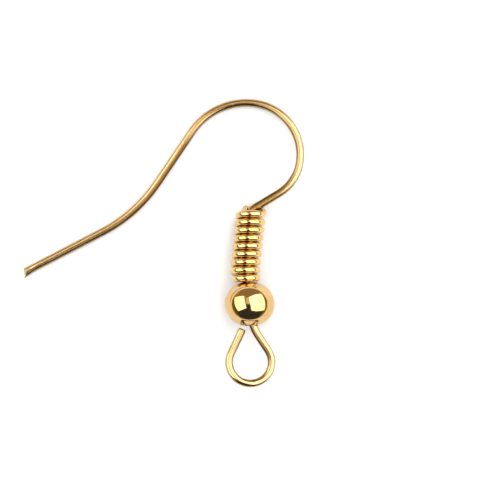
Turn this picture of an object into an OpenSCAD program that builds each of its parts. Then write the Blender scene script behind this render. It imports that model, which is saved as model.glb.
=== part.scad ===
// Ear wire: a French hook with a loose hollow bead and a wound coil on its shank.
// The hook is drawn in its own plane, x to the front, y up, z towards the viewer,
// with the bead's centre at zero, and is then laid on its side as it rests on a table.

/* [Wire] */
// Diameter of the ear wire
wire_d = 0.5; // [0.4:0.05:0.6]
// Slant of the snipped end of the tail
tip_slant = 13; // [0:1:25]

/* [Bead] */
// Widest diameter of the bead
bead_d = 3.1; // [2.8:0.1:3.6]
// Height of the bead's round form from pole to pole
bead_h = 2.75; // [2.5:0.05:3]
// Wall of the hollow bead
bead_wall = 0.25; // [0.15:0.05:0.4]
// Play that the bead's holes would leave on each side of a centred wire
hole_play = 0.3; // [0.25:0.01:0.35]
// Gap between the wire and the rim of each hole
rim_gap = 0.05; // [0.04:0.01:0.1]

/* [Shank] */
// Lean of the straight shank, its top towards the front
shank_lean = 4; // [0:0.5:6]
// How far below the coil's top the shoulder starts to bend
shoulder_dip = 0.72; // [0.5:0.01:0.75]
// Angle that the shoulder turns towards the front
shoulder_turn = 54.9; // [40:0.1:60]
// Bend radius of the shoulder
shoulder_r = 0.75; // [0.6:0.05:1.2]
// Straight length from the shoulder to the front bow
shoulder_run = 1.65; // [1.2:0.05:3]

/* [Hook] */
// Angle of the front bow
front_turn = 52.9; // [45:0.1:60]
// Bend radius of the front bow
front_r = 2.72; // [2.2:0.01:3.5]
// Angle of the crown, which sits in the ear
crown_turn = 88; // [75:0.5:95]
// Bend radius of the crown
crown_r = 3.3; // [2.8:0.05:4]
// Angle of the back bow
back_turn = 64.2; // [50:0.1:75]
// Bend radius of the back bow
back_r = 4.08; // [3.5:0.01:5]
// Straight length down the back
back_run = 3.83; // [2:0.01:8]
// Angle that the tail flares away from the back
tail_turn = 28.9; // [10:0.1:40]
// Bend radius of the flare
tail_r = 9.3; // [5:0.1:14]
// Straight length of the tail
tail_run = 5.4; // [3:0.1:9]

/* [Eye] */
// Lean of the wire where it leaves the bead's lower hole
exit_lean = 19.7; // [12:0.1:22]
// Bend radius of the wire inside the bead
inner_r = 2; // [1.2:0.1:2.4]
// Straight length below the bead before the leg flares
neck_run = 0.03; // [0:0.01:0.4]
// Angle that the leg flares to the front
flare_turn = 14.2; // [10:0.1:20]
// Bend radius of the flaring leg
flare_r = 3; // [2:0.1:4]
// Straight length of the leg above the eye
leg_run = 1.04; // [0.9:0.01:1.3]
// Angle of the eye's round loop
eye_turn = 238.8; // [230:0.1:242]
// Bend radius of the eye
eye_r = 1.32; // [1.2:0.01:1.6]
// How far the middle of the wire's end stays below the rim of the bead's hole
end_drop = 0.228; // [0.2:0.001:0.6]

/* [Coil] */
// Diameter of the wire that the coil is wound from
coil_wire_d = 0.46; // [0.35:0.01:0.48]
// Play that the coil would leave on each side of a centred wire
coil_play = 0.235; // [0.22:0.005:0.3]
// Rise of the coil for each turn
coil_pitch = 0.5; // [0.49:0.01:0.55]
// Number of turns
coil_turns = 8.78; // [4.78:1:8.78]
// Where the lowest turn is cut, counted round from the viewer's side
coil_start = -60; // [-60:5:0]
// Gap between the bead's rim and the lowest strand, on the viewer's side
coil_seat = 0.02; // [0.02:0.01:0.05]
// How much further than the shank the coil leans
coil_tilt = 1.4; // [0.5:0.1:1.5]
// How far the coil's foot stands behind the shank
coil_back = 0.1; // [0.06:0.01:0.12]
// How far the lowest turn is pushed back over the bead's hole
foot_shift = 0.15; // [0:0.01:0.2]
// How far the cut upper end springs away from the turns
end_spring = 0.1; // [0:0.01:0.15]

/* [Hidden] */

$fn = 48;
// How much thinner every second stretch of the wire is, which keeps the joints crisp
thinning = 0.004;
// How far a full stretch reaches over its thinner neighbour
lap = 0.02;

// What fits round the wire takes its size from the wire
wire_r = wire_d / 2;
hole_r = wire_r + hole_play;
coil_wire_r = coil_wire_d / 2;
coil_r = wire_r + coil_play + coil_wire_r;
coil_lean = shank_lean + coil_tilt;
shank_rise = coil_seat + coil_turns * coil_pitch + coil_wire_d - shoulder_dip;

// The bead's outline is an arc whose centre lies this far from its axis
arc_r = bead_h / 2;
arc_out = (bead_d - bead_h) / 2;
rim_y = sqrt(pow(arc_r, 2) - pow(hole_r - arc_out, 2));
// Height that covers the bead from pole to pole with room to spare
bead_span = 2 * bead_h;

// The wire leans across the bead, close to the rear of the upper rim and the front of the lower
upper_x = -(hole_r - wire_r / cos(shank_lean) - rim_gap);
lower_x = hole_r - wire_r / cos(exit_lean) - rim_gap;
upper_hole = [upper_x, rim_y];
lower_hole = [lower_x, -rim_y];
down_heading = -90 - shank_lean;
exit_heading = -90 + exit_lean;
tail_heading = down_heading - tail_turn + back_turn + crown_turn + front_turn - shoulder_turn;

function along(heading) = [cos(heading), sin(heading)];
function left_of(heading) = [-sin(heading), cos(heading)];

// Distance from the first point, along its heading, to where the two lines cross
function crossing(first, first_heading, second, second_heading) =
    let (gap = second - first)
    (gap * left_of(second_heading)) / (along(first_heading) * left_of(second_heading));

inner_turn = exit_heading - down_heading;
inner_tangent = inner_r * tan(inner_turn / 2);
entry_run = crossing(upper_hole, down_heading, lower_hole, exit_heading) - inner_tangent;
exit_run = crossing(lower_hole, exit_heading + 180, upper_hole, down_heading) - inner_tangent;

// A bend follows a straight run: its columns are the run, the turn to the left and the radius
function run_of(bend) = bend[0];
function turn_of(bend) = bend[1];
function radius_of(bend) = bend[2];
function side_of(bend) = turn_of(bend) < 0 ? -1 : 1;

tail_bend = [tail_run, tail_turn, tail_r];
back_bend = [back_run, -back_turn, back_r];
crown_bend = [0, -crown_turn, crown_r];
front_bend = [0, -front_turn, front_r];
shoulder_bend = [shoulder_run, shoulder_turn, shoulder_r];
shank_bend = [shank_rise + entry_run, inner_turn, inner_r];
neck_bend = [exit_run + neck_run, flare_turn, flare_r];
eye_bend = [leg_run, -eye_turn, eye_r];
hook_bends = [tail_bend, back_bend, crown_bend, front_bend, shoulder_bend];
loop_bends = [shank_bend, neck_bend, eye_bend];

// A place along the wire is a point and the heading there
function point_of(place) = place[0];
function heading_of(place) = place[1];
function run_end(place, bend) = point_of(place) + run_of(bend) * along(heading_of(place));
function bend_centre(place, bend) =
    run_end(place, bend) + side_of(bend) * radius_of(bend) * left_of(heading_of(place));
function next_place(place, bend) =
    let (heading = heading_of(place) + turn_of(bend))
    [bend_centre(place, bend) - side_of(bend) * radius_of(bend) * left_of(heading), heading];
function last_place(place, bends, row = 0) =
    row == len(bends) ? place : last_place(next_place(place, bends[row]), bends, row + 1);
function places(place, bends, row = 0) =
    row == len(bends) ? [] : concat([place], places(next_place(place, bends[row]), bends, row + 1));

// The chain is laid so that its shank passes through the bead's upper hole
free_shank = last_place([[0, 0], tail_heading], hook_bends);
tip = upper_hole - point_of(free_shank) - shank_rise * along(down_heading);
tail_place = [tip, tail_heading];
back_place = next_place(tail_place, tail_bend);
crown_place = next_place(back_place, back_bend);
eye_place = last_place(tail_place, concat(hook_bends, [shank_bend, neck_bend]));
back_centre = bend_centre(back_place, back_bend);
crown_centre = bend_centre(crown_place, crown_bend);
eye_centre = bend_centre(eye_place, eye_bend);

// The straight end of the wire stops just short of the bead
end_place = next_place(eye_place, eye_bend);
end_run = (-rim_y - end_drop - point_of(end_place)[1]) / sin(heading_of(end_place));
wire_bends = concat(hook_bends, loop_bends, [[end_run, 0, 0]]);
wire_places = places(tail_place, wire_bends);

// Number of stretches, straight or bent, before a row of the table
function stretches(row) =
    row == 0 ? 0 : stretches(row - 1) + (run_of(wire_bends[row - 1]) > 0 ? 1 : 0) + 1;
function stretch_r(number) = number % 2 == 0 ? wire_r : wire_r - thinning;
function stretch_lap(number) = number % 2 == 0 ? lap : 0;

// The hook rests on the tip, the outside of the back bow and the bead: the first two
// lie on one line, and the bead lifts its own side of the hook's plane
tip_to_back = back_centre - tip;
line_heading = atan2(tip_to_back[1], tip_to_back[0]) + asin(back_r / norm(tip_to_back));
bead_from_line = tip * left_of(line_heading);
rest_tilt = asin((bead_d / 2 - wire_r) / bead_from_line);

// Middle of the outline, which is set over the origin
middle_x = (tip[0] - wire_r * sin(tail_heading) + crown_centre[0] + crown_r + wire_r) / 2;
middle_y = (back_centre[1] + back_r + eye_centre[1] - eye_r) / 2;

// Side of the block that snips the tail
snip_size = 4 * wire_d;

// The coil's foot, and the faces that its wire is made of
coil_foot_y = rim_y + coil_seat + coil_wire_r;
coil_foot_x = upper_x + (coil_foot_y - rim_y) * tan(shank_lean) - coil_back;
coil_sides = 12;
rings_per_turn = 24;
coil_rings = round(coil_turns * rings_per_turn);
coil_end = coil_start + coil_turns * 360;
slope_rise = coil_pitch / (2 * PI);
// Angle over which the upper end springs away
spring_turn = 150;

function foot_push(angle) = foot_shift * pow(max(0, 1 - (angle - coil_start) / 360), 2);
function spring_rise(angle) = end_spring * pow(max(0, 1 - (coil_end - angle) / spring_turn), 2);
function coil_centre(angle) = [
    coil_r * sin(angle) + foot_push(angle),
    coil_pitch * angle / 360 + spring_rise(angle),
    coil_r * cos(angle)
];
function coil_out(angle) = [sin(angle), 0, cos(angle)];
function coil_forward(angle) =
    [coil_r * cos(angle), slope_rise, -coil_r * sin(angle)] / norm([coil_r, slope_rise]);
function coil_ring(angle) = [
    for (side = [0 : coil_sides - 1])
        let (round_angle = side * 360 / coil_sides)
        coil_centre(angle) + coil_wire_r * (
            cos(round_angle) * coil_out(angle)
            + sin(round_angle) * cross(coil_forward(angle), coil_out(angle))
        )
];

// Lays what is drawn in the hook's plane on the table
module lay_down() {
    translate([tip[0] - middle_x, tip[1] - middle_y, wire_r])
        rotate(a = -rest_tilt, v = [cos(line_heading), sin(line_heading), 0])
            translate([-tip[0], -tip[1], 0])
                children();
}

// Straight stretch of round wire from a place along its heading
module straight_wire(place, length, start_lap, end_lap) {
    start = point_of(place) - start_lap * along(heading_of(place));
    translate([start[0], start[1], 0])
        rotate([0, 0, heading_of(place)])
            rotate([0, 90, 0])
                cylinder(h = start_lap + length + end_lap, r = wire_r);
}

// Bent stretch of round wire about its centre, from a heading on
module bent_wire(centre, bend, heading, radius, end_lap) {
    lap_angle = end_lap / radius_of(bend) * 180 / PI;
    lower_heading = min(heading, heading + turn_of(bend));
    first_angle = lower_heading - side_of(bend) * 90;
    translate([centre[0], centre[1], 0])
        rotate([0, 0, first_angle - lap_angle])
            rotate_extrude(angle = abs(turn_of(bend)) + 2 * lap_angle)
                translate([radius_of(bend), 0])
                    circle(r = radius);
}

// Every stretch of the bend table
module wire_chain() {
    last = len(wire_bends) - 1;
    for (row = [0 : last]) {
        bend = wire_bends[row];
        place = wire_places[row];
        turn_number = stretches(row) + (run_of(bend) > 0 ? 1 : 0);
        if (run_of(bend) > 0)
            straight_wire(place, run_of(bend), row == 0 ? 0 : lap, row == last ? 0 : lap);
        if (turn_of(bend) != 0)
            bent_wire(
                bend_centre(place, bend),
                bend,
                heading_of(place),
                stretch_r(turn_number),
                stretch_lap(turn_number)
            );
    }
}

// Removes the wire beyond the slanted end of the tail
module tip_cut() {
    translate([tip[0], tip[1], 0])
        rotate([0, 0, tail_heading + tip_slant])
            translate([wire_r * sin(tip_slant) - snip_size, -snip_size / 2, -snip_size / 2])
                cube(snip_size);
}

module ear_hook() {
    color("goldenrod")
        lay_down()
            difference() {
                wire_chain();
                tip_cut();
            }
}

module coil() {
    rings = [
        for (ring = [0 : coil_rings])
            coil_ring(coil_start + ring * coil_turns * 360 / coil_rings)
    ];
    skin = [
        for (ring = [0 : coil_rings - 1], side = [0 : coil_sides - 1])
            let (
                this_row = ring * coil_sides,
                next_row = this_row + coil_sides,
                next_side = (side + 1) % coil_sides
            )
            [this_row + side, this_row + next_side, next_row + next_side, next_row + side]
    ];
    first_end = [for (side = [coil_sides - 1 : -1 : 0]) side];
    last_end = [for (side = [0 : coil_sides - 1]) coil_rings * coil_sides + side];
    color("gold")
        lay_down()
            translate([coil_foot_x, coil_foot_y, 0])
                rotate([0, 0, -coil_lean])
                    polyhedron(
                        points = [for (ring = rings, point = ring) point],
                        faces = concat(skin, [first_end, last_end])
                    );
}

// Half outline of the bead, grown inwards by a wall
module bead_outline(inset) {
    intersection() {
        translate([arc_out, 0])
            circle(r = arc_r - inset);
        translate([0, -bead_h])
            square([bead_d, bead_span]);
    }
}

module bead() {
    color("gold")
        lay_down()
            rotate([-90, 0, 0])
                rotate_extrude()
                    difference() {
                        bead_outline(0);
                        bead_outline(bead_wall);
                        translate([0, -bead_h])
                            square([hole_r, bead_span]);
                    }
}

ear_hook();
coil();
bead();
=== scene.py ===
"""Dresses the ear wire: the bent hook, its wound coil and its loose hollow bead.

The pieces are bent, wound and turned in the hook's own plane, x to the front, y up and
z towards the viewer, with the bead's centre at zero, and are then laid on the floor.
"""

import math

import bpy
from mathutils import Matrix, Quaternion, Vector, noise


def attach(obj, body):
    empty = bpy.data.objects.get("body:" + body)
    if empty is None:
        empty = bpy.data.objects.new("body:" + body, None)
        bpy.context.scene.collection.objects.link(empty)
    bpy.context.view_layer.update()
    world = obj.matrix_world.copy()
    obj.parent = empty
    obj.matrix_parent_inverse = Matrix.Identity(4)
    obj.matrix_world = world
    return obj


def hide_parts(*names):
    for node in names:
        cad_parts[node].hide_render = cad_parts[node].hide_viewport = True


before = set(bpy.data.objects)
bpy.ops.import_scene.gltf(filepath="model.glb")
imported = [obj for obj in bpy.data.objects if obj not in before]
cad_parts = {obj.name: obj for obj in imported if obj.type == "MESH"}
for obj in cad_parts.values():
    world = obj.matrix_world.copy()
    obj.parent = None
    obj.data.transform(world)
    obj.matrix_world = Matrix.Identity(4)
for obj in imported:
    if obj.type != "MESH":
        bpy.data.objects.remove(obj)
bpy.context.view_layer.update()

MM = 0.001
FLAT_UP = Vector((0, 0, 1))

# The ear wire's own sizes, in metres and degrees
WIRE_R = 0.25 * MM
TIP_SLANT = 13
BEAD_D = 3.1 * MM
BEAD_H = 2.75 * MM
BEAD_WALL = 0.25 * MM
HOLE_R = 0.55 * MM
RIM_GAP = 0.05 * MM
SHANK_LEAN = 4
SHANK_RISE = 4.15 * MM
EXIT_LEAN = 19.7
INNER_R = 2 * MM
NECK_RUN = 0.03 * MM
END_DROP = 0.228 * MM
EYE_TWIST = 8

# The coil, whose angles are counted from its front
COIL_WIRE_R = 0.23 * MM
COIL_R = 0.715 * MM
COIL_PITCH = 0.5 * MM
COIL_TURNS = 8.78
COIL_START = -60
COIL_SEAT = 0.02 * MM
COIL_LEAN = 5.4
COIL_BACK = 0.1 * MM
FOOT_SHIFT = 0.15 * MM
END_SPRING = 0.1 * MM
END_ARCH = 0.24 * MM
END_BACK = 0.1 * MM
SPRING_TURN = 165
COIL_SWEEP = COIL_TURNS * 360
COIL_END = COIL_START + COIL_SWEEP
COIL_WANDER = 0.012 * MM
WANDER_TURN = 300

# How finely the pieces are made
WIRE_SIDES = 40
COIL_SIDES = 28
COIL_STEPS_PER_TURN = 60
BEAD_ARC_SIDES = 160
BEAD_STEPS = 128
BEND_STEP = 2.5
RUN_STEP = 0.25 * MM
RIM_SEGMENTS = 3
CREASE = 40
MERGE = 0.0005 * MM

# Cut ends and rims
EYE_END_ROUND = 0.11 * MM
TIP_ROUND = 0.012 * MM
COIL_END_ROUND = 0.025 * MM
RIM_ROUND = 0.035 * MM
# Marks of the cutter: millimetres from the tip, half length, facing in degrees, depth
TIP_MARKS = [(0.34, 0.2, 75, 0.05 * MM), (0.66, 0.16, 150, 0.03 * MM)]
# The burr starts this many millimetres from the tip
BURR_ROOT = 0.34
BURR_LENGTH = 0.6 * MM
BURR_DROP = 0.14 * MM


def along(heading):
    """The direction of a heading, in degrees from x towards y."""
    return Vector((math.cos(math.radians(heading)), math.sin(math.radians(heading)), 0))


def left_of(heading):
    """The direction square to a heading, on its left."""
    return along(heading + 90)


class Bend:
    """A straight run of wire and the bend after it, which turns to the left if positive."""

    def __init__(self, run, turn=0.0, radius=0.0):
        self.run = run
        self.turn = turn
        self.radius = radius
        self.side = -1 if turn < 0 else 1

    def centre(self, point, heading):
        """The centre of the bend, for a run that starts at a point on a heading."""
        return point + self.run * along(heading) + self.side * self.radius * left_of(heading)

    def end(self, point, heading):
        """The point and the heading after the bend."""
        last = heading + self.turn
        return self.centre(point, heading) - self.side * self.radius * left_of(last), last

    def length(self):
        """The length of wire in the run and the bend."""
        return self.run + abs(math.radians(self.turn)) * self.radius


def walk(point, heading, bends):
    """The point and the heading before each bend, and after the last one."""
    places = [(point, heading)]
    for bend in bends:
        places.append(bend.end(*places[-1]))
    return places


def crossing(first, first_heading, second, second_heading):
    """Distance from the first point, along its heading, to where the two lines cross."""
    across = left_of(second_heading)
    return (second - first).dot(across) / along(first_heading).dot(across)


# The bead's outline is an arc whose centre lies this far from its axis
ARC_R = BEAD_H / 2
ARC_OUT = (BEAD_D - BEAD_H) / 2
RIM_Y = math.sqrt(ARC_R**2 - (HOLE_R - ARC_OUT) ** 2)

# The wire leans across the bead, from the rear of the upper hole to the front of the lower
upper_hole = Vector((WIRE_R / math.cos(math.radians(SHANK_LEAN)) + RIM_GAP - HOLE_R, RIM_Y, 0))
lower_hole = Vector((HOLE_R - WIRE_R / math.cos(math.radians(EXIT_LEAN)) - RIM_GAP, -RIM_Y, 0))
down_heading = -90 - SHANK_LEAN
exit_heading = -90 + EXIT_LEAN
inner_turn = exit_heading - down_heading
inner_tangent = INNER_R * math.tan(math.radians(inner_turn / 2))
entry_run = crossing(upper_hole, down_heading, lower_hole, exit_heading) - inner_tangent
exit_run = crossing(lower_hole, exit_heading + 180, upper_hole, down_heading) - inner_tangent

# Each stretch has its run, its turn in degrees and its radius
tail = Bend(5.4 * MM, 28.9, 9.3 * MM)
back = Bend(3.83 * MM, -64.2, 4.08 * MM)
crown = Bend(0, -88, 3.3 * MM)
front = Bend(0, -52.9, 2.72 * MM)
shoulder = Bend(1.65 * MM, 54.9, 0.75 * MM)
shank = Bend(SHANK_RISE + entry_run, inner_turn, INNER_R)
neck = Bend(exit_run + NECK_RUN, 14.2, 3 * MM)
eye = Bend(1.04 * MM, -238.8, 1.32 * MM)
hook_bends = [tail, back, crown, front, shoulder]
round_bends = hook_bends + [shank, neck, eye]

# The chain is laid so that its shank passes through the bead's upper hole
tail_heading = down_heading - sum(bend.turn for bend in hook_bends)
free_shank = walk(Vector((0, 0, 0)), tail_heading, hook_bends)[-1][0]
tip = upper_hole - free_shank - SHANK_RISE * along(down_heading)
end_y = -RIM_Y - END_DROP
end_point, end_heading = walk(tip, tail_heading, round_bends)[-1]
end_run = (end_y - end_point.y) / math.sin(math.radians(end_heading))
wire_bends = round_bends + [Bend(end_run)]
wire_places = walk(tip, tail_heading, wire_bends)
wire_length = sum(bend.length() for bend in wire_bends)

# The hook rests on its tip, the outside of the back bow and the bead
place_before = dict(zip(wire_bends, wire_places))
back_centre = back.centre(*place_before[back])
crown_centre = crown.centre(*place_before[crown])
eye_centre = eye.centre(*place_before[eye])
tip_to_back = back_centre - tip
line_heading = math.degrees(
    math.atan2(tip_to_back.y, tip_to_back.x) + math.asin(back.radius / tip_to_back.length)
)
bead_from_line = tip.dot(left_of(line_heading))
rest_tilt = math.asin((BEAD_D / 2 - WIRE_R) / bead_from_line)
rear_x = tip.x - WIRE_R * math.sin(math.radians(tail_heading))
front_x = crown_centre.x + crown.radius + WIRE_R
top_y = back_centre.y + back.radius
bottom_y = eye_centre.y - eye.radius
middle = Vector(((rear_x + front_x) / 2, (top_y + bottom_y) / 2, -WIRE_R))
LAID = (
    Matrix.Translation(tip - middle)
    @ Matrix.Rotation(-rest_tilt, 4, along(line_heading))
    @ Matrix.Translation(-tip)
)
bead_centre = LAID @ Vector((0, 0, 0))

# The coil stands behind the shank, a little further over than it leans
coil_foot_y = RIM_Y + COIL_SEAT + COIL_WIRE_R
coil_foot_x = upper_hole.x + (coil_foot_y - RIM_Y) * math.tan(math.radians(SHANK_LEAN)) - COIL_BACK
COIL_STOOD = Matrix.Translation((coil_foot_x, coil_foot_y, 0)) @ Matrix.Rotation(
    -math.radians(COIL_LEAN), 4, "Z"
)


# Modelling helpers


def circle_at(point, radius, sides, rotation):
    """A ring with its place in its mesh, in edit mode and all selected."""
    bpy.ops.object.select_all(action="DESELECT")
    bpy.ops.mesh.primitive_circle_add(
        vertices=sides, radius=radius, location=point, rotation=rotation
    )
    ring = bpy.context.object
    bpy.ops.object.transform_apply(location=True, rotation=True, scale=True)
    bpy.ops.object.mode_set(mode="EDIT")
    bpy.ops.mesh.select_all(action="SELECT")
    return ring


def extrude_run(length, heading):
    """In edit mode, draws the ring that is selected straight on, in short steps."""
    steps = max(1, round(length / RUN_STEP))
    for _ in range(steps):
        bpy.ops.mesh.extrude_region_move(
            TRANSFORM_OT_translate={"value": along(heading) * (length / steps)}
        )


def apply_modifier(piece, kind, **settings):
    """Adds a modifier with its settings and applies it, in object mode."""
    modifier = piece.modifiers.new(kind.title(), kind)
    for key, value in settings.items():
        setattr(modifier, key, value)
    bpy.ops.object.modifier_apply(modifier=modifier.name)


def close_up():
    """In edit mode, merges doubles and points every face outwards."""
    bpy.ops.mesh.select_all(action="SELECT")
    bpy.ops.mesh.remove_doubles(threshold=MERGE)
    bpy.ops.mesh.normals_make_consistent(inside=False)


def keep_runs(piece, runs):
    """Keeps where each vertex lies on its wire, for the finish to read.

    A run is the millimetres along the wire, and then how far off its middle the vertex lies in
    two directions, as shares of its radius.
    """
    attribute = piece.data.attributes.new("run", "FLOAT_VECTOR", "POINT")
    for stored, run in zip(attribute.data, runs):
        stored.vector = run


def settle(piece, name, finishes):
    """Lays a piece on the floor, smooth but for its creases, with its place in its mesh.

    The cut faces, the only ones with more than four corners, wear the last of its finishes.
    """
    piece.name = name
    piece.data.name = name
    piece.data.transform(LAID)
    piece.data.update()
    bpy.ops.object.select_all(action="DESELECT")
    piece.select_set(True)
    bpy.context.view_layer.objects.active = piece
    bpy.ops.object.shade_smooth_by_angle(angle=math.radians(CREASE))
    for finish in finishes:
        piece.data.materials.append(finish)
    for face in piece.data.polygons:
        face.material_index = len(finishes) - 1 if len(face.vertices) > 4 else 0


# The wire


def nearer(best, place, middle_point, side, gone):
    """Whichever lies nearer to its own middle: what is best so far, or this stretch."""
    off = place - middle_point
    distance = off.length
    if best and best[0] <= distance:
        return best
    scale = 1 / max(distance, MERGE)
    return distance, gone, off.dot(side) * scale, off.z * scale


def wire_run_at(place):
    """Millimetres along the wire, and the direction from its middle to a place beside it."""
    best = None
    start = 0
    for bend, (point, heading) in zip(wire_bends, wire_places):
        forward = min(max((place - point).dot(along(heading)), 0), bend.run)
        middle_point = point + forward * along(heading)
        best = nearer(best, place, middle_point, left_of(heading), start + forward)
        if bend.turn:
            centre = bend.centre(point, heading)
            out = place - centre
            facing = math.degrees(math.atan2(out.y, out.x))
            turned = ((facing - heading) * bend.side + 90) % 360
            if turned > abs(bend.turn):
                turned = 0
            side = left_of(heading + bend.side * turned)
            middle_point = centre - bend.side * bend.radius * side
            gone = start + bend.run + math.radians(turned) * bend.radius
            best = nearer(best, place, middle_point, side, gone)
        start += bend.length()
    return Vector((best[1] / MM, best[2], best[3]))


def round_rim(width):
    """In edit mode, rounds the rim of the cut face that is selected."""
    bpy.ops.mesh.bevel(offset=width, segments=RIM_SEGMENTS, affect="EDGES")


def mark_tip(wire):
    """Presses the cutter's marks into the end of the tail, and draws out its burr."""
    across = left_of(tail_heading)
    for vertex in wire.data.vertices:
        run, side, up = wire_run_at(vertex.co)
        for mark_run, half_length, facing, depth in TIP_MARKS:
            away = (run - mark_run) / half_length
            if abs(away) < 1:
                turn = math.radians(facing)
                reach = math.cos(turn) * side + math.sin(turn) * up
                pressed = depth * (1 - away**2) ** 2 * max(0, reach) ** 4
                vertex.co -= pressed * (side * across + up * FLAT_UP)
        if run < BURR_ROOT:
            drawn = (1 - run / BURR_ROOT) * max(0, -side) ** 3
            vertex.co -= drawn * (BURR_LENGTH * along(tail_heading) + BURR_DROP * across)


def twist_eye(wire):
    """Turns the eye out of the hook's plane, more and more from the bead down."""
    for vertex in wire.data.vertices:
        share = min(max((end_y - vertex.co.y) / (end_y - eye_centre.y), 0), 1)
        twist = math.radians(EYE_TWIST) * share**2 * (3 - 2 * share)
        beside = vertex.co.x - eye_centre.x
        high = vertex.co.z
        vertex.co.x = eye_centre.x + beside * math.cos(twist) + high * math.sin(twist)
        vertex.co.z = high * math.cos(twist) - beside * math.sin(twist)


def make_wire():
    """Bends the wire from its tail to the end of its eye, and cuts its two ends."""
    wire = circle_at(
        tip - WIRE_R * along(tail_heading),
        WIRE_R,
        WIRE_SIDES,
        (0, math.radians(90), math.radians(tail_heading)),
    )
    extrude_run(WIRE_R, tail_heading)
    for bend, (point, heading) in zip(wire_bends, wire_places):
        if bend.run > 0:
            extrude_run(bend.run, heading)
        if bend.turn:
            bpy.ops.mesh.spin(
                steps=math.ceil(abs(bend.turn) / BEND_STEP),
                angle=-math.radians(bend.turn),
                center=bend.centre(point, heading),
                axis=FLAT_UP,
            )
    bpy.ops.mesh.edge_face_add()
    round_rim(EYE_END_ROUND)
    bpy.ops.mesh.select_all(action="SELECT")
    snip_heading = tail_heading + TIP_SLANT
    bpy.ops.mesh.bisect(
        plane_co=tip + WIRE_R * math.sin(math.radians(TIP_SLANT)) * along(snip_heading),
        plane_no=along(snip_heading),
        use_fill=True,
        clear_inner=True,
        threshold=MERGE,
    )
    round_rim(TIP_ROUND)
    close_up()
    bpy.ops.object.mode_set(mode="OBJECT")
    mark_tip(wire)
    keep_runs(wire, [wire_run_at(vertex.co) for vertex in wire.data.vertices])
    twist_eye(wire)
    return wire


# The coil


def coil_middle(angle):
    """The middle of the coil's wire at an angle round the coil."""
    turn = math.radians(angle)
    return Vector((COIL_R * math.sin(turn), COIL_PITCH * angle / 360, COIL_R * math.cos(turn)))


def coil_sway(angle):
    """How far the pushed foot and the sprung end carry the wire off its plain winding.

    The end arches up and back behind the shoulder, and comes down to its cut.
    """
    pushed = max(0, 1 - (angle - COIL_START) / 360)
    sprung = max(0, 1 - (COIL_END - angle) / SPRING_TURN)
    arch = math.sin(math.pi * sprung) ** 2
    raised = END_SPRING * sprung**2 + END_ARCH * arch
    wander = COIL_WANDER * noise.noise(Vector((angle / WANDER_TURN, 0, 0)))
    return Vector((FOOT_SHIFT * pushed**2, raised + wander, -END_BACK * arch))


def cap_ring(piece, first):
    """In edit mode, closes the ring of coil wire that starts at a vertex, and rounds its rim."""
    bpy.ops.mesh.select_all(action="DESELECT")
    bpy.ops.object.mode_set(mode="OBJECT")
    for index in range(first, first + COIL_SIDES):
        piece.data.vertices[index].select = True
    bpy.ops.object.mode_set(mode="EDIT")
    bpy.ops.mesh.edge_face_add()
    round_rim(COIL_END_ROUND)


def make_coil():
    """Winds the coil up its own axis, pushes its foot back and lets its upper end spring."""
    coil = circle_at(
        coil_middle(COIL_START),
        COIL_WIRE_R,
        COIL_SIDES,
        (0, math.radians(COIL_START - 90), 0),
    )
    bpy.ops.object.mode_set(mode="OBJECT")
    steps = round(COIL_TURNS * COIL_STEPS_PER_TURN)
    apply_modifier(
        coil,
        "SCREW",
        axis="Y",
        angle=math.radians(COIL_SWEEP),
        screw_offset=COIL_TURNS * COIL_PITCH,
        steps=steps,
        render_steps=steps,
        use_merge_vertices=False,
    )
    runs = []
    for index, vertex in enumerate(coil.data.vertices):
        angle = COIL_START + (index // COIL_SIDES) * COIL_SWEEP / steps
        off = (vertex.co - coil_middle(angle)) / COIL_WIRE_R
        turn = math.radians(angle)
        outward = off.x * math.sin(turn) + off.z * math.cos(turn)
        runs.append((math.radians(angle - COIL_START) * COIL_R / MM, outward, off.y))
        vertex.co += coil_sway(angle)
    keep_runs(coil, runs)
    bpy.ops.object.mode_set(mode="EDIT")
    bpy.ops.mesh.select_mode(type="VERT")
    cap_ring(coil, steps * COIL_SIDES)
    cap_ring(coil, 0)
    close_up()
    bpy.ops.object.mode_set(mode="OBJECT")
    coil.data.transform(COIL_STOOD)
    return coil


# The bead


def make_bead():
    """Turns the bead from its outline, gives it its wall and rounds the rims of its holes.

    The wall narrows the holes, so it is pushed back to their radius.
    """
    bead = circle_at((ARC_OUT, 0, 0), ARC_R, BEAD_ARC_SIDES, (0, 0, 0))
    bpy.ops.mesh.bisect(
        plane_co=(HOLE_R, 0, 0), plane_no=(1, 0, 0), clear_inner=True, threshold=MERGE
    )
    bpy.ops.mesh.select_all(action="SELECT")
    bpy.ops.mesh.spin(steps=BEAD_STEPS, angle=math.radians(360), center=(0, 0, 0), axis=(0, 1, 0))
    close_up()
    bpy.ops.object.mode_set(mode="OBJECT")
    apply_modifier(bead, "SOLIDIFY", thickness=BEAD_WALL, offset=-1)
    for vertex in bead.data.vertices:
        from_axis = math.hypot(vertex.co.x, vertex.co.z)
        if from_axis < HOLE_R:
            vertex.co.x *= HOLE_R / from_axis
            vertex.co.z *= HOLE_R / from_axis
    apply_modifier(
        bead,
        "BEVEL",
        width=RIM_ROUND,
        segments=RIM_SEGMENTS,
        limit_method="ANGLE",
        angle_limit=math.radians(CREASE),
    )
    return bead


# Finishes


class Socket:
    """A socket of a finish, with the operators that its sums use."""

    def __init__(self, finish, socket):
        self.finish = finish
        self.socket = socket

    def sum(self, operation, left, right):
        return self.finish.node("ShaderNodeMath", {"operation": operation}, {0: left, 1: right})

    def __add__(self, other):
        return self.sum("ADD", self, other)

    def __radd__(self, other):
        return self.sum("ADD", other, self)

    def __sub__(self, other):
        return self.sum("SUBTRACT", self, other)

    def __rsub__(self, other):
        return self.sum("SUBTRACT", other, self)

    def __mul__(self, other):
        return self.sum("MULTIPLY", self, other)

    def __rmul__(self, other):
        return self.sum("MULTIPLY", other, self)


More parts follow.
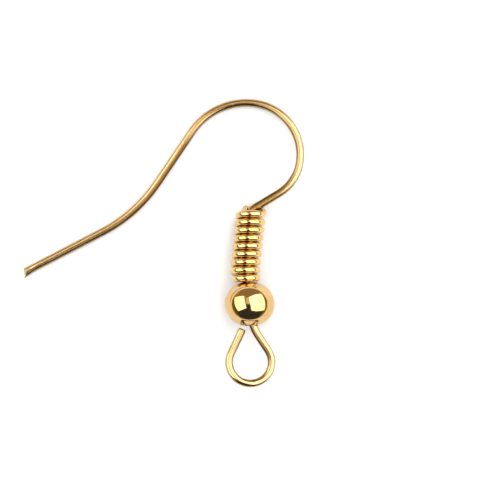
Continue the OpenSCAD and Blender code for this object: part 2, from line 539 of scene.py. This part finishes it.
class Finish:
    """A metal finish: one Principled shader, and the nodes that vary it."""

    def __init__(self, name, **constants):
        self.material = bpy.data.materials.new(name)
        self.material.use_nodes = True
        self.tree = self.material.node_tree
        self.shader = self.tree.nodes["Principled BSDF"]
        for key, value in constants.items():
            self.shader.inputs[key.replace("_", " ").title()].default_value = value

    def node(self, kind, settings=None, inputs=None, output=0):
        """A node of a kind, set first and then fed, and one of its outputs."""
        made = self.tree.nodes.new(kind)
        for key, value in (settings or {}).items():
            if key == "stops":
                set_stops(made.color_ramp, value)
            else:
                setattr(made, key, value)
        for key, value in (inputs or {}).items():
            self.feed(made.inputs[key], value)
        return Socket(self, made.outputs[output])

    def feed(self, target, value):
        """Links a socket to an input, or sets the input to a plain value."""
        if isinstance(value, Socket):
            self.tree.links.new(value.socket, target)
        else:
            target.default_value = value

    def set(self, name, value):
        """Gives the shader one of its inputs."""
        self.feed(self.shader.inputs[name], value)

    def place(self):
        """The place on the piece, in metres."""
        return self.node("ShaderNodeTexCoord", output=3)

    def run(self):
        """Where a point lies on its wire, as keep_runs stored it."""
        return self.node("ShaderNodeAttribute", {"attribute_name": "run"}, output=1)

    def part(self, vector, index):
        """One of the three numbers of a vector."""
        return self.node("ShaderNodeSeparateXYZ", None, {0: vector}, output=index)

    def mix(self, share, first, second):
        """A colour between two, by a share from 0 to 1."""
        settings = {"data_type": "RGBA"}
        return self.node("ShaderNodeMix", settings, {0: share, 6: first, 7: second}, output=2)

    def stretch(self, place, scale):
        """A place with each of its numbers times its own scale."""
        settings = {"vector_type": "POINT"}
        return self.node("ShaderNodeMapping", settings, {"Vector": place, "Scale": scale})

    def grain(self, place, scale, detail=2.0):
        """Soft noise from 0 to 1, with as many cells as the scale in each unit of place."""
        inputs = {"Vector": place, "Scale": scale, "Detail": detail}
        return self.node("ShaderNodeTexNoise", None, inputs)

    def band(self, value, low, high):
        """0 below low, 1 above high, and smooth between."""
        settings = {"interpolation_type": "SMOOTHSTEP"}
        return self.node("ShaderNodeMapRange", settings, {"Value": value, 1: low, 2: high})

    def bump(self, height, depth):
        """A normal that follows a height, where 1 stands as far out as the depth, in metres."""
        inputs = {"Height": height, "Distance": depth}
        return self.node("ShaderNodeBump", None, inputs)


def set_stops(ramp, stops):
    """Gives a ramp its stops, each a position and a colour."""
    while len(ramp.elements) < len(stops):
        ramp.elements.new(0.5)
    for element, (position, colour) in zip(ramp.elements, stops):
        element.position = position
        element.color = colour


# Tones of the plate, bright and darker (the brown one for tarnish, drawn lines and painted shade,
# the darkest only for painted shade), and the bare metal of a cut
STRAW_GOLD = (0.62, 0.45, 0.24, 1)
PALE_GOLD = (0.64, 0.45, 0.22, 1)
RICH_GOLD = (0.71, 0.47, 0.15, 1)
DEEP_GOLD = (0.57, 0.36, 0.12, 1)
BROWN_GOLD = (0.33, 0.205, 0.07, 1)
# The darkest tone is painted shade, on one side and at the edges of the wire
PAINTED_SHADE_GOLD = (0.13, 0.063, 0.015, 1)
RAW_BRASS = (0.72, 0.58, 0.34, 1)
# The floor's two greys
FLOOR_GREY = (0.4, 0.4, 0.4, 1)
FLOOR_PALE = (0.42, 0.42, 0.42, 1)
# How deep the marks of each finish are
DRAWN_DEPTH = 0.0025 * MM
WOUND_DEPTH = 0.0015 * MM
PEEL_DEPTH = 0.004 * MM
SHEAR_DEPTH = 0.004 * MM
# Millimetres from the tip, and how dark the wire is painted there: all round, partly tarnish and
# partly painted shade, and on the side that faces right on the way from the tip, painted shade
# standing in for a dark reflection
TARNISH_AND_PAINTED_SHADE = [
    (0, 0.4),
    (6, 0.45),
    (9, 0.25),
    (13, 0.15),
    (15, 0.4),
    (20, 0.3),
    (24, 0.1),
    (26.3, 1),
    (28.4, 1),
    (30, 0.1),
]
# Painted shade: how dark the side that faces right is painted, standing in for a dark reflection
# on that side
PAINTED_DARK_SIDE = [
    (0, 0.1),
    (4, 0.3),
    (7.5, 0.9),
    (9.5, 1),
    (13, 1),
    (15, 0.2),
    (19.5, 0.3),
    (21, 0.6),
    (24, 0.6),
    (34, 0.95),
    (37.5, 0.95),
    (38.5, 0.2),
    (42, 0.2),
    (43, 0.6),
]


def along_wire(gold, distance, shares):
    """A share that changes along the wire, from a table of places in millimetres."""
    stops = [(place * MM / wire_length, (share, share, share, 1)) for place, share in shares]
    return gold.node("ShaderNodeValToRGB", {"stops": stops}, {0: distance * (MM / wire_length)})


def wire_gold():
    """Plate over drawn wire, with fine lines along it, darker stretches that are partly tarnished
    plate and partly painted shade, and painted shade along one side and at its edges.
    """
    gold = Finish("wire_gold", metallic=1.0)
    run = gold.run()
    distance = gold.part(run, 0)
    side = gold.part(run, 1)
    lines = gold.grain(gold.stretch(run, (0.5, 7, 7)), 1.6, detail=3)
    blush = gold.grain(gold.stretch(run, (0.7, 0.8, 0.8)), 0.8, detail=2)
    nicks = gold.band(gold.grain(gold.stretch(run, (5, 3, 3)), 2.2, detail=3), 0.62, 0.72)
    specks = gold.band(gold.grain(gold.stretch(run, (4, 2, 2)), 1.4, detail=3), 0.5, 0.66)
    # Darker stretches along the wire: partly tarnish, partly painted shade standing in for dark
    # reflections
    tarnish_and_painted_shade = along_wire(gold, distance, TARNISH_AND_PAINTED_SHADE)
    # Painted shade on the side that faces right, standing in for a dark reflection
    painted_dark_side = gold.band(side * -1, 0, 0.3) * along_wire(gold, distance, PAINTED_DARK_SIDE)
    # Painted shade: the wire's edges on either side in its plane are darkened, a dark outline seen
    # from above
    painted_dark_edges = gold.band(side * side, 0.65, 0.95) * 0.6
    tone = gold.mix(gold.band(blush, 0.35, 0.75), STRAW_GOLD, PALE_GOLD)
    tone = gold.mix(gold.band(lines, 0.5, 0.65) * 0.4, tone, BROWN_GOLD)
    tone = gold.mix(tarnish_and_painted_shade, tone, BROWN_GOLD)
    tone = gold.mix(specks * tarnish_and_painted_shade * (1 - tarnish_and_painted_shade) * 2, tone, STRAW_GOLD)
    tone = gold.mix(painted_dark_side, tone, PAINTED_SHADE_GOLD)
    tone = gold.mix(painted_dark_edges, tone, PAINTED_SHADE_GOLD)
    gold.set("Base Color", gold.mix(nicks * 0.35, tone, BROWN_GOLD))
    gold.set("Roughness", 0.1 + lines * 0.1 + tarnish_and_painted_shade * 0.1 + nicks * 0.12)
    gold.set("Normal", gold.bump(lines + specks * tarnish_and_painted_shade * 0.4 - nicks * 0.4, DRAWN_DEPTH))
    return gold.material


def coil_gold():
    """The same plate on fine wire, with painted shade making the hollows between the turns a
    deeper, darker gold.
    """
    gold = Finish("coil_gold", metallic=1.0)
    run = gold.run()
    outward = gold.part(run, 1)
    lines = gold.grain(gold.stretch(run, (0.4, 6, 6)), 1.5, detail=3)
    blush = gold.grain(gold.stretch(run, (0.9, 0.7, 0.7)), 0.9, detail=2)
    # Painted shade: the hollows between the turns are given a deeper, darker gold
    painted_groove_shade = 1 - gold.band(outward, 0.1, 0.9)
    tone = gold.mix(gold.band(blush, 0.3, 0.65), PALE_GOLD, RICH_GOLD)
    gold.set("Base Color", gold.mix(painted_groove_shade, tone, DEEP_GOLD))
    gold.set("Roughness", 0.09 + lines * 0.08)
    gold.set("Normal", gold.bump(lines, WOUND_DEPTH))
    return gold.material


def bead_gold():
    """Mirror polish with a faint orange peel and hairline scratches."""
    gold = Finish("bead_gold", metallic=1.0)
    place = gold.place()
    peel = gold.grain(place, 700, detail=1)
    blush = gold.grain(place, 420, detail=2)
    hairs = gold.grain(gold.stretch(place, (9000, 900, 9000)), 1, detail=2)
    gold.set("Base Color", gold.mix(gold.band(blush, 0.35, 0.7), PALE_GOLD, DEEP_GOLD))
    gold.set("Roughness", 0.1 + gold.band(hairs, 0.55, 0.75) * 0.06)
    gold.set("Normal", gold.bump(peel, PEEL_DEPTH))
    return gold.material


def cut_brass():
    """A sheared face, paler and rough, with the cutter's lines across it."""
    brass = Finish("cut_brass", metallic=1.0)
    lines = brass.grain(brass.stretch(brass.place(), (30000, 3000, 3000)), 1, detail=2)
    brass.set("Base Color", brass.mix(lines, RAW_BRASS, DEEP_GOLD))
    brass.set("Roughness", 0.3 + lines * 0.2)
    brass.set("Normal", brass.bump(lines, SHEAR_DEPTH))
    return brass.material


def pale_floor():
    """A matt floor with hardly any clouding."""
    floor = Finish("pale_floor", roughness=0.7)
    clouds = floor.grain(floor.place(), 3)
    floor.set("Base Color", floor.mix(clouds, FLOOR_GREY, FLOOR_PALE))
    return floor.material


# The pieces

sheared = cut_brass()
wire = make_wire()
settle(wire, "bent_wire", [wire_gold(), sheared])
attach(wire, "hook")
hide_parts("ear_hook")

coil = make_coil()
settle(coil, "wound_coil", [coil_gold(), sheared])
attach(coil, "hook")
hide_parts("coil")

bead = make_bead()
settle(bead, "hollow_bead", [bead_gold()])
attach(bead, "bead")
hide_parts("bead")


# Studio

# The camera looks straight down, and shows this width at the height of the bead's middle
PHOTO_WIDTH = 31.03 * MM
VIEW_CENTRE = Vector((5.37 * MM, -0.423 * MM, 0))
LENS = 200
SENSOR = 36
NEAREST_SEEN = 0.01
FLOOR_SIZE = 6
WHITE = (1, 1, 1)
AMBER = (1, 0.82, 0.55)
WARM = (1, 0.68, 0.3)
DIM_ROOM = (0.05, 0.052, 0.066, 1)
# Name, metres from the bead, facing, elevation, roll, width and height as degrees seen from the
# bead, watts per square metre of its face, colour
SOFT_BOXES = [
    ("right_box", 0.4, 10, 50, 0, 82, 73, 9.5, WHITE),
    ("left_box", 0.4, 175, 43, 20, 66, 51, 9.5, WHITE),
    ("upper_glow", 0.6, 95, 72, 0, 30, 34, 2.4, AMBER),
    ("back_glow", 0.8, 90, 46, 0, 130, 88, 1.1, WARM),
    ("right_glow", 0.8, 0, 7, 0, 110, 14, 0.7, WARM),
    ("left_glow", 0.8, 180, 7, 0, 110, 14, 0.7, WARM),
]
# This one lights the floor, and shows in no reflection
FLOOR_WASH = ("floor_wash", 0.8, 90, 90, 0, 100, 100, 8.0, WHITE)


def make_floor():
    """A plain floor that reaches past the picture's edges."""
    bpy.ops.mesh.primitive_plane_add(size=FLOOR_SIZE, location=(0, 0, 0))
    floor = bpy.context.object
    floor.name = "floor"
    floor.data.materials.append(pale_floor())


def soft_box(name, reach, facing, elevation, roll, width, height, power, colour):
    """A light that looks at the bead: its facing from +x, and its angles in degrees."""
    out = Vector(
        (
            math.cos(math.radians(facing)) * math.cos(math.radians(elevation)),
            math.sin(math.radians(facing)) * math.cos(math.radians(elevation)),
            math.sin(math.radians(elevation)),
        )
    )
    light = bpy.data.lights.new(name, "AREA")
    light.shape = "RECTANGLE"
    light.size = 2 * reach * math.tan(math.radians(width / 2))
    light.size_y = 2 * reach * math.tan(math.radians(height / 2))
    light.energy = power * light.size * light.size_y
    light.color = colour
    lamp = bpy.data.objects.new(name, light)
    bpy.context.collection.objects.link(lamp)
    lamp.location = bead_centre + reach * out
    rolled = Quaternion(FLAT_UP, math.radians(roll))
    lamp.rotation_euler = ((-out).to_track_quat("-Z", "Y") @ rolled).to_euler()
    lamp.visible_camera = False
    return lamp


def make_room():
    """The dim room round the floor, for the reflections."""
    world = bpy.data.worlds.new("studio")
    bpy.context.scene.world = world
    world.use_nodes = True
    world.node_tree.nodes["Background"].inputs["Color"].default_value = DIM_ROOM


def make_camera():
    """A camera straight above, far enough for its long lens to take in the picture's width."""
    camera = bpy.data.objects.new("camera", bpy.data.cameras.new("camera"))
    bpy.context.collection.objects.link(camera)
    camera.data.sensor_width = SENSOR
    camera.data.lens = LENS
    camera.data.clip_start = NEAREST_SEEN
    camera.location = VIEW_CENTRE + (bead_centre.z + PHOTO_WIDTH * LENS / SENSOR) * FLAT_UP
    bpy.context.scene.camera = camera
    bpy.context.scene.view_settings.view_transform = "Standard"


make_floor()
for box in SOFT_BOXES:
    soft_box(*box)
soft_box(*FLOOR_WASH).visible_glossy = False
make_room()
make_camera()
